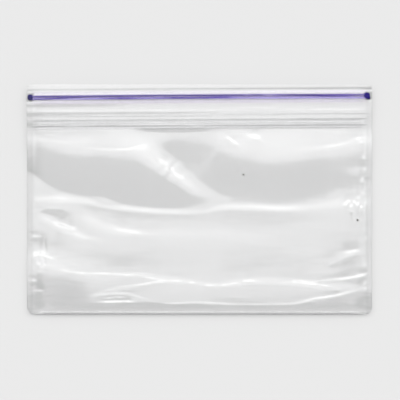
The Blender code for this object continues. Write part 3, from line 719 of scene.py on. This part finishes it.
def film_material(name, clear_tone, mirror, haze_share):
    """Thin clear film, deeper in welds and edge-on, with a faint uneven haze.

    Where it is fused to a closure it mirrors less.
    """
    material, tree = nodes_of(name)
    nodes, links = tree.nodes, tree.links
    edge_on = math_node(tree, "MULTIPLY", facing(tree), EDGE_ON_DEPTH)
    dense = math_node(tree, "ADD", edge_on, mark(tree, "dense"), clamp=True)
    clear = nodes.new("ShaderNodeBsdfTransparent")
    links.new(mix_colour(tree, dense, clear_tone, DENSE_TONE), clear.inputs["Color"])
    haze = nodes.new("ShaderNodeBsdfDiffuse")
    haze.inputs["Color"].default_value = (*HAZE_TONE, 1)
    uneven = cloudy(tree, HAZE_SCALE, HAZE_STRETCH)
    share = math_node(tree, "MULTIPLY", uneven, 2.0 * haze_share)
    body = mix_shader(tree, share, clear.outputs[0], haze.outputs[0])
    gloss = nodes.new("ShaderNodeBsdfGlossy")
    gloss.inputs["Color"].default_value = (1, 1, 1, 1)
    gloss.inputs["Roughness"].default_value = FILM_ROUGHNESS
    links.new(rippled(tree, RIPPLE_DEPTH), gloss.inputs["Normal"])
    loose = math_node(tree, "SUBTRACT", 1.0, mark(tree, "fused"))
    mirrored = math_node(tree, "MULTIPLY", schlick(tree, mirror), loose)
    finish(tree, mix_shader(tree, mirrored, body, gloss.outputs[0]))
    return material


def zip_material(name, deep_tone):
    """Purple plastic, from clear lavender where thin to a deep tone where thick; along the
    beads that depth of colour also paints the shade and highlights of light bending through the
    shut zip.
    """
    material, tree = nodes_of(name)
    nodes, links = tree.nodes, tree.links
    streaks = cloudy(tree, STREAK_SCALE, STREAK_STRETCH)
    streaks = math_node(tree, "SUBTRACT", streaks, 0.5)
    streaks = math_node(tree, "MULTIPLY", streaks, STREAK_DEPTH)
    depth = math_node(tree, "ADD", mark(tree, "depth"), streaks, clamp=True)
    shader = nodes.new("ShaderNodeBsdfPrincipled")
    tone = mix_colour(tree, depth, LAVENDER, deep_tone)
    links.new(tone, shader.inputs["Base Color"])
    shader.inputs["Roughness"].default_value = ZIP_ROUGHNESS
    shader.inputs["Specular IOR Level"].default_value = ZIP_SPECULAR
    clear = nodes.new("ShaderNodeBsdfTransparent")
    clear.inputs["Color"].default_value = (*LILAC_CLEAR, 1)
    solid = math_node(tree, "MULTIPLY", depth, ZIP_SOLID_GAIN)
    solid = math_node(tree, "ADD", solid, ZIP_SOLID, clamp=True)
    finish(tree, mix_shader(tree, solid, clear.outputs[0], shader.outputs[0]))
    return material


def grime_material():
    """Dark dirt, paler in places."""
    material, tree = nodes_of("dark_speck")
    shader = tree.nodes.new("ShaderNodeBsdfPrincipled")
    tone = mix_colour(tree, cloudy(tree, GRIME_SCALE, 1.0), GRIME, PALE_GRIME)
    tree.links.new(tone, shader.inputs["Base Color"])
    shader.inputs["Roughness"].default_value = GRIME_ROUGHNESS
    finish(tree, shader.outputs[0])
    return material


# ---- making the pieces ----
def add_piece(name, mesh, material, *replaced):
    """Put a mesh in the scene as a piece of the bag."""
    mesh.shade_smooth()
    mesh.materials.append(material)
    obj = bpy.data.objects.new(name, mesh)
    bpy.context.scene.collection.objects.link(obj)
    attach(obj, "root")
    if replaced:
        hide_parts(*replaced)
    return obj


def keep_mark(mesh, name, values):
    """Keep a value for each point of a mesh, for its material."""
    attribute = mesh.attributes.new(name, "FLOAT", "POINT")
    attribute.data.foreach_set("value", np.asarray(values, dtype=np.float32).ravel())


def mesh_from(bm, name):
    """The finished mesh of a bmesh."""
    mesh = bpy.data.meshes.new(name)
    bm.to_mesh(mesh)
    bm.free()
    return mesh


def sheet(name, columns, rows, shape, height, marks=None):
    """A grid over columns and rows, shaped in plan and then lifted."""
    bm = bmesh.new()
    bmesh.ops.create_grid(bm, x_segments=len(columns) - 1, y_segments=len(rows) - 1,
                          size=1.0)
    mesh = mesh_from(bm, name)
    place = np.empty(len(mesh.vertices) * 3)
    mesh.vertices.foreach_get("co", place)
    place = place.reshape(-1, 3)
    column = np.rint((place[:, 0] + 1) / 2 * (len(columns) - 1)).astype(int)
    row = np.rint((place[:, 1] + 1) / 2 * (len(rows) - 1)).astype(int)
    x, y = shape(np.array(columns)[column], np.array(rows)[row])
    place[:, 0], place[:, 1], place[:, 2] = x, y, height(x, y)
    mesh.vertices.foreach_set("co", place.ravel())
    mesh.update()
    for mark_name, values in (marks or {}).items():
        keep_mark(mesh, mark_name, values(x, y))
    return mesh


def spaced(low, high, step):
    """Even places from one end to the other, about a step apart."""
    return list(np.linspace(low, high, round((high - low) / step) + 1))


def joined(*runs):
    """Several runs of positions as one, with no position twice."""
    places = []
    for run in runs:
        places += run if not places else run[1:]
    return places


def tilted(x, y):
    """Turn the header's rows to lie along the closures."""
    share = smooth((y - HEADER_EDGE) / HEADER_TURN)
    return x, y + x * TILT * share


def along_closures(x, y):
    """Lay a strip's rows along the closures."""
    return x, y + x * TILT


def round_corners(x, y, top):
    """Pull the points of each corner's square onto the corner's arc."""
    x, y = x.copy(), y.copy()
    for radius, end in ((FOOT_CORNER, -HALF_HEIGHT), (LIP_CORNER, top)):
        outwards = 1.0 if end > 0 else -1.0
        off_y = y - (end - outwards * radius)
        for side in (-1, 1):
            centre_x = side * (HALF_WIDTH - radius)
            off_x = x - centre_x
            inside = (off_x * side > 0) & (off_y * outwards > 0)
            long = np.maximum(np.abs(off_x), np.abs(off_y))
            shrink = np.where(inside, long / np.maximum(np.hypot(off_x, off_y), 1e-9), 1)
            x = np.where(inside, centre_x + off_x * shrink, x)
            y = np.where(inside, y - off_y + off_y * shrink, y)
    return x, y


def front_plan(x, y):
    """Outline and rows of the front film."""
    x, y = round_corners(x, y, FRONT_LIP)
    return tilted(x, y)


def back_plan(x, y):
    """Outline of the back film."""
    return round_corners(x, y, HALF_HEIGHT)


def edge_dense(x, y):
    """Where a film is welded or cut it lets less light by: shares from 0 to 1."""
    from_side = HALF_WIDTH - np.abs(x)
    from_foot = HALF_HEIGHT + y
    weld = WELD_DEPTH * (1.0 - smooth((from_side - WELD_WIDTH) / WELD_FADE))
    rim = RIM_DEPTH * (1.0 - smooth(np.minimum(from_side, from_foot) / RIM_FADE))
    hem = HEM_DEPTH * (1.0 - smooth(from_foot / FOLD_DEPTH))
    return weld + rim + hem


def front_dense(x, y):
    """The same for the front film, with its lip."""
    from_lip = FRONT_LIP + x * TILT - y
    return edge_dense(x, y) + LIP_DEPTH * (1.0 - smooth(from_lip / LIP_FADE))


def zip_fused(x, y):
    """Where the films are fused to the purple closure: shares from 0 to 1."""
    across = (y - x * TILT) / MM
    beads = smooth((across - FUSED_LOW) / FUSED_FADE)
    beads *= smooth((FUSED_HIGH - across) / FUSED_FADE)
    ends = smooth((np.abs(x) / MM - FUSED_ENDS) / FUSED_FADE)
    ends *= smooth((across - MELTED_LOW) / FUSED_FADE)
    ends *= smooth((MELTED_HIGH - across) / FUSED_FADE)
    return np.maximum(beads * FUSED_SHARE, ends * MELTED_SHARE)


def film(material):
    """Both films, with finer rows and columns where they turn more."""
    left, right = -HALF_WIDTH + SIDE_STRIP, HALF_WIDTH - SIDE_STRIP
    foot = -HALF_HEIGHT + FOOT_STRIP
    columns = joined(spaced(-HALF_WIDTH, left, SIDE_STEP), spaced(left, right, MIDDLE_STEP),
                     spaced(right, HALF_WIDTH, SIDE_STEP))
    rows = joined(spaced(-HALF_HEIGHT, foot, FOOT_STEP), spaced(foot, HEADER_EDGE, POUCH_STEP),
                  spaced(HEADER_EDGE, FRONT_LIP, HEADER_STEP))
    mesh = sheet("film_front", columns, rows, front_plan, front_height,
                 {"dense": front_dense, "fused": zip_fused})
    add_piece("film_front", mesh, material, "film_bag")
    columns = spaced(-HALF_WIDTH, HALF_WIDTH, BACK_STEP)
    rows = joined(spaced(-HALF_HEIGHT, foot, BACK_FOOT_STEP), spaced(foot, BACK_LIP, BACK_STEP),
                  spaced(BACK_LIP, HALF_HEIGHT, BACK_LIP_STEP))
    mesh = sheet("film_back", columns, rows, back_plan, back_height,
                 {"dense": edge_dense, "fused": zip_fused})
    add_piece("film_back", mesh, material, "film_bag")


def bead(name, rows, z_low, z_high, material):
    """A rounded bead along a route of (x, y, half width, depth of colour, partly painted shade
    and highlights), tilted as the zip.
    """
    count = max(FEWEST_RINGS, round((rows[-1][0] - rows[0][0]) / BEAD_STEP))
    table = np.array(rows, float)
    x = np.linspace(table[0, 0], table[-1, 0], count)
    y, half, depth = (np.interp(x, table[:, 0], table[:, k]) for k in (1, 2, 3))
    bm = bmesh.new()
    rings = []
    middle, tall = (z_low + z_high) / 2, (z_high - z_low) / 2
    for place_x, place_y, wide in zip(x * MM, y * MM, half * MM):
        ring = []
        for side in range(BEAD_SIDES):
            turn = 2 * math.pi * side / BEAD_SIDES
            ring_y = place_y + place_x * TILT + wide * math.cos(turn)
            ring.append(bm.verts.new((place_x, ring_y, middle + tall * math.sin(turn))))
        rings.append(ring)
    for ring, after in zip(rings, rings[1:]):
        for side in range(BEAD_SIDES):
            other = (side + 1) % BEAD_SIDES
            bm.faces.new((ring[side], after[side], after[other], ring[other]))
    bm.faces.new(rings[0])
    bm.faces.new(reversed(rings[-1]))
    mesh = mesh_from(bm, name)
    keep_mark(mesh, "depth", np.repeat(depth, BEAD_SIDES))
    add_piece(name, mesh, material, "zip_strip")


def zip_strip(purple, lilac):
    """The shut zip: a flange, a web over it and the beads on both sides of the web."""
    columns = spaced(-ZIP_HALF_LENGTH, ZIP_HALF_LENGTH, ZIP_COLUMN_STEP)

    def flange_height(x, y):
        return np.full(x.shape, ZIP_LOW[2] + FLANGE_LIFT)

    rows = spaced(FLANGE_LOW, FLANGE_HIGH, FLANGE_ROW_STEP)
    mesh = sheet("zip_flange", columns, rows, along_closures, flange_height)
    add_piece("zip_flange", mesh, lilac, "zip_strip")

    def web_height(x, y):
        return ZIP_HIGH[2] - WEB_DROP + WEB_WAVE * np.cos(y * math.pi / WEB_RIDGE)

    def web_depth(x, y):
        return np.interp(x / MM, *zip(*ZIP_WEB))

    rows = spaced(WEB_LOW, WEB_HIGH, WEB_ROW_STEP)
    mesh = sheet("zip_web", columns, rows, along_closures, web_height,
                 {"depth": web_depth})
    add_piece("zip_web", mesh, purple, "zip_strip")
    bead("zip_bead_upper", ZIP_UPPER, BEAD_FOOT, ZIP_HIGH[2], purple)
    for number, rows in enumerate(ZIP_LOWER, start=1):
        bead(f"zip_bead_lower_{number}", rows, BEAD_FOOT, ZIP_HIGH[2] - LOWER_DROP, purple)


def zip_stop(name, x, y, half_x, half_y, lobe, material):
    """A crushed block of the zip at its end."""
    bm = bmesh.new()
    bmesh.ops.create_icosphere(bm, subdivisions=4, radius=1.0)
    middle, tall = (ZIP_LOW[2] + ZIP_HIGH[2]) / 2, (ZIP_HIGH[2] - ZIP_LOW[2]) / 2
    x, y, half_x, half_y = x * MM, y * MM, half_x * MM, half_y * MM
    lobe = Vector((lobe[0] * MM, lobe[1] * MM, 0))
    pattern = Vector((x * DENT_SHIFT, 0, 0))
    for vert in bm.verts:
        corner = max(abs(vert.co.x), abs(vert.co.y))
        square = 1.0 + STOP_SQUARE * (1.0 - corner)
        dent = 1.0 + DENT_DEPTH * noise.noise(vert.co * DENT_SCALE + pattern)
        off = Vector((vert.co.x * square * half_x, vert.co.y * square * half_y, 0))
        off += lobe * max(0.0, -vert.co.y) * max(0.0, vert.co.x)
        top = math.copysign(min(abs(vert.co.z) * STOP_FLAT, 1.0), vert.co.z)
        vert.co = Vector((x, y, middle + top * tall)) + off * dent
    mesh = mesh_from(bm, name)
    keep_mark(mesh, "depth", np.full(len(mesh.vertices), 1.0))
    add_piece(name, mesh, material, "zip_strip")


def rib_strip(material):
    """The clear second closure: a flat track with ribs of uneven height."""
    columns = spaced(-RIB_HALF_LENGTH, RIB_HALF_LENGTH, RIB_COLUMN_STEP)
    rows = spaced(TRACK_LOW, TRACK_HIGH, RIB_ROW_STEP)

    def rib_height(x, y):
        across = (y - x * TILT) / MM
        height = np.full(x.shape, RIB_LOW[2] / MM + TRACK_LIFT)
        for rib_y, marks in RIBS:
            off = (across - rib_y) / RIB_SPREAD
            height += np.interp(x / MM, *zip(*marks)) * np.exp(-off ** 2)
        return np.minimum(height * MM, front_height(x, y) - RIB_GAP)

    mesh = sheet("rib_track", columns, rows, along_closures, rib_height)
    add_piece("rib_track", mesh, material, "rib_strip")


def speck(name, x, y, size, material):
    """A crumb of dirt lying on the film."""
    bm = bmesh.new()
    bmesh.ops.create_icosphere(bm, subdivisions=3, radius=1.0)
    z = front_height(np.array([x * MM]), np.array([y * MM]))[0]
    for vert in bm.verts:
        lump = 1.0 + LUMP_DEPTH * noise.noise(vert.co * LUMP_SCALE + Vector((x, y, 0)))
        vert.co = vert.co * lump * size * MM / 2
        vert.co.z *= SPECK_FLATNESS
        vert.co += Vector((x * MM, y * MM, z + size * MM * SPECK_LIFT))
    mesh = mesh_from(bm, name)
    add_piece(name, mesh, material)


# ---- floor and light ----
def floor():
    """The pale paper that the bag lies on."""
    bpy.ops.mesh.primitive_plane_add(size=FLOOR_SIZE, location=(0, 0, -FLOOR_DROP))
    plane = bpy.context.object
    plane.name = "floor"
    material = bpy.data.materials.new("paper")
    material.use_nodes = True
    shader = material.node_tree.nodes["Principled BSDF"]
    shader.inputs["Base Color"].default_value = (FLOOR_SHARE, FLOOR_SHARE, FLOOR_SHARE, 1)
    shader.inputs["Roughness"].default_value = 1.0
    shader.inputs["Specular IOR Level"].default_value = 0.0
    plane.data.materials.append(material)


def studio():
    """Pale all round, a dim ceiling, and a wide soft box behind the zip."""
    world = bpy.data.worlds.new("studio")
    bpy.context.scene.world = world
    world.use_nodes = True
    tree = world.node_tree
    tree.nodes.clear()
    out = tree.nodes.new("ShaderNodeOutputWorld")
    back = tree.nodes.new("ShaderNodeBackground")
    tree.links.new(back.outputs[0], out.inputs["Surface"])
    place = tree.nodes.new("ShaderNodeTexCoord")
    split = tree.nodes.new("ShaderNodeSeparateXYZ")
    tree.links.new(place.outputs["Generated"], split.inputs[0])
    up = math_node(tree, "MAXIMUM", split.outputs["Z"], LEAST_UP)
    lean = math_node(tree, "ARCTAN2", split.outputs["Y"], up)
    wide = math_node(tree, "ARCTAN2", split.outputs["X"], up)
    wide = math_node(tree, "ABSOLUTE", wide)

    def ramp(value, start, end):
        """From 0 to 1 as an angle goes from start to end, both in degrees."""
        node = tree.nodes.new("ShaderNodeMapRange")
        node.interpolation_type = "SMOOTHSTEP"
        tree.links.new(value, node.inputs["Value"])
        node.inputs["From Min"].default_value = math.radians(start)
        node.inputs["From Max"].default_value = math.radians(end)
        return node.outputs["Result"]

    # a dim ceiling over the pouch side, a lit one overhead, a soft box beyond it
    middle = ramp(wide, *CEILING_SIDES)
    ceiling = math_node(tree, "MULTIPLY", ramp(lean, *CEILING_FOOT),
                        ramp(lean, *CEILING_HEAD))
    ceiling = math_node(tree, "MULTIPLY", ceiling, middle)
    tone = math_node(tree, "MULTIPLY", ramp(lean, *OVERHEAD), OVERHEAD_LIGHT - DIM_LIGHT)
    soft_box = math_node(tree, "MULTIPLY", ramp(lean, *BOX_EDGE), ramp(lean, *BOX_END))
    soft_box = math_node(tree, "MULTIPLY", soft_box, BOX_LIGHT - OVERHEAD_LIGHT)
    tone = math_node(tree, "ADD", tone, soft_box)
    lamp = math_node(tree, "MULTIPLY", ramp(lean, *LAMP_EDGE), ramp(lean, *LAMP_END))
    lamp = math_node(tree, "MULTIPLY", lamp, LAMP_LIGHT - BOX_LIGHT)
    tone = math_node(tree, "ADD", tone, lamp)
    tone = math_node(tree, "ADD", tone, DIM_LIGHT - ROUND_LIGHT)
    tone = math_node(tree, "MULTIPLY", tone, ceiling)
    tone = math_node(tree, "ADD", tone, ROUND_LIGHT)
    tree.links.new(tone, back.inputs["Strength"])


def camera():
    """Look straight down on the bag."""
    data = bpy.data.cameras.new("camera")
    data.lens = LENS
    data.sensor_width = SENSOR
    obj = bpy.data.objects.new("camera", data)
    obj.location = (*VIEW_CENTRE, VIEW_WIDTH * LENS / SENSOR)
    bpy.context.scene.collection.objects.link(obj)
    bpy.context.scene.camera = obj


def look():
    """Plain tones, and enough clear bounces for the film."""
    scene = bpy.context.scene
    scene.view_settings.view_transform = "Standard"
    scene.cycles.transparent_max_bounces = CLEAR_BOUNCES


camera()
floor()
studio()
look()
clear = film_material("clear_film", CLEAR_TONE, FILM_MIRROR, FILM_HAZE)
lilac = film_material("lilac_film", LILAC_CLEAR, LILAC_MIRROR, LILAC_HAZE)
ribbed = film_material("clear_ribs", RIB_TONE, RIB_MIRROR, RIB_HAZE)
purple = zip_material("purple_plastic", INDIGO)
melted = zip_material("melted_purple", MELTED)
grime = grime_material()
film(clear)
rib_strip(ribbed)
zip_strip(purple, lilac)
for row in ZIP_STOPS:
    zip_stop(*row, melted)
for row in SPECKS:
    speck(*row, grime)
